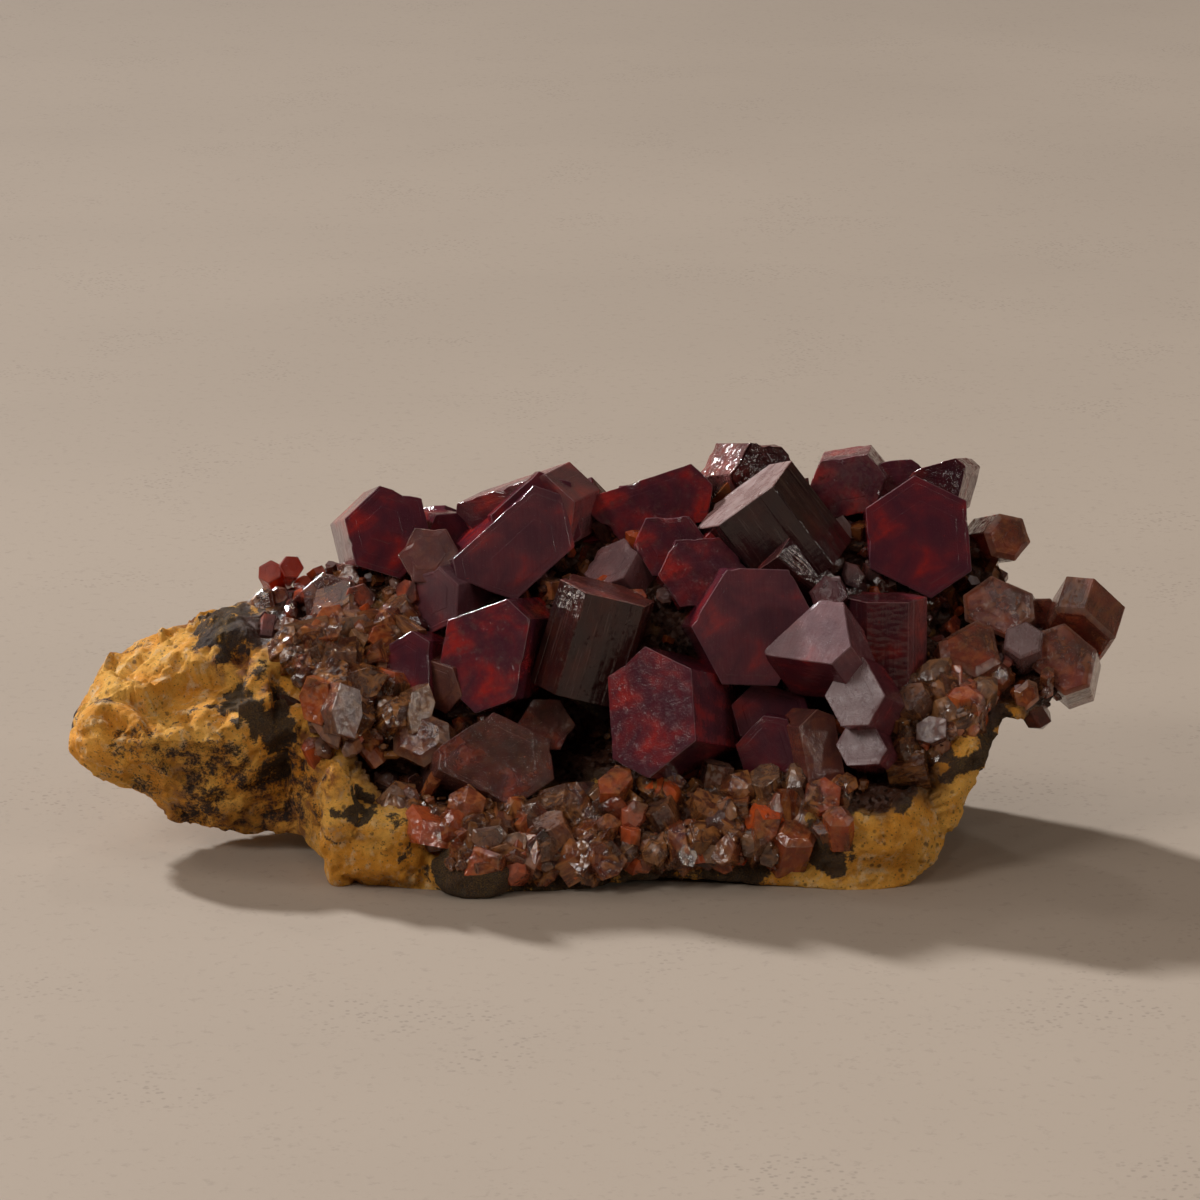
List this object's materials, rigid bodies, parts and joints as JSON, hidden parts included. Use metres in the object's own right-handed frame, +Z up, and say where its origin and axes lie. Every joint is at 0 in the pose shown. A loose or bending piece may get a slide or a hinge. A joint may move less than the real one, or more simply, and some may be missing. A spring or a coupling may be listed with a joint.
{
  "type": "vanadinite in matrix",
  "caption": "Loose hand specimen: dark red hexagonal crystals and druses of small ones grown over a lump of ochre rock.",
  "frame": {"origin": "middle of the bounding box's footprint, on the surface that the specimen rests on", "axes": "+X along the specimen's length towards its right end, -Y out of the display side with the large crystals, +Z up"},
  "size_m": [0.0844, 0.0368, 0.0302],
  "materials": {
    "limonite_rock": "matte",
    "red_crystal": "gloss",
    "brown_crystal": "gloss",
    "orange_crystal": "gloss"
  },
  "bodies": {
    "root": {"matrix": "limonite_rock", "front_druse": "brown_crystal", "left_druse": "brown_crystal", "right_druse": "brown_crystal", "left_crown_crystals": "red_crystal", "centre_crown_crystals": "red_crystal", "right_crown_crystals": "red_crystal", "middle_crystals": "red_crystal", "tilted_crystals": "red_crystal", "dark_prism_crystals": "red_crystal", "striated_prism_crystals": "red_crystal", "left_hexagon_crystals": "red_crystal", "front_hexagon_crystals": "red_crystal", "great_hexagon_crystals": "red_crystal", "pale_twins_crystals": "red_crystal", "rough_black_crystals": "red_crystal", "crest_crystals": "red_crystal", "front_left_crystals": "brown_crystal", "right_end_crystals": "brown_crystal", "right_brown_crystals": "brown_crystal", "right_knob_crystals": "brown_crystal", "left_edge_crystals": "brown_crystal", "left_notch_crystals": "brown_crystal", "orange_pair_crystals": "orange_crystal", "back_left_crystals": "red_crystal", "back_middle_crystals": "red_crystal", "back_right_crystals": "red_crystal", "back_low_left_crystals": "red_crystal", "back_low_right_crystals": "red_crystal"}
  },
  "joints": []
}
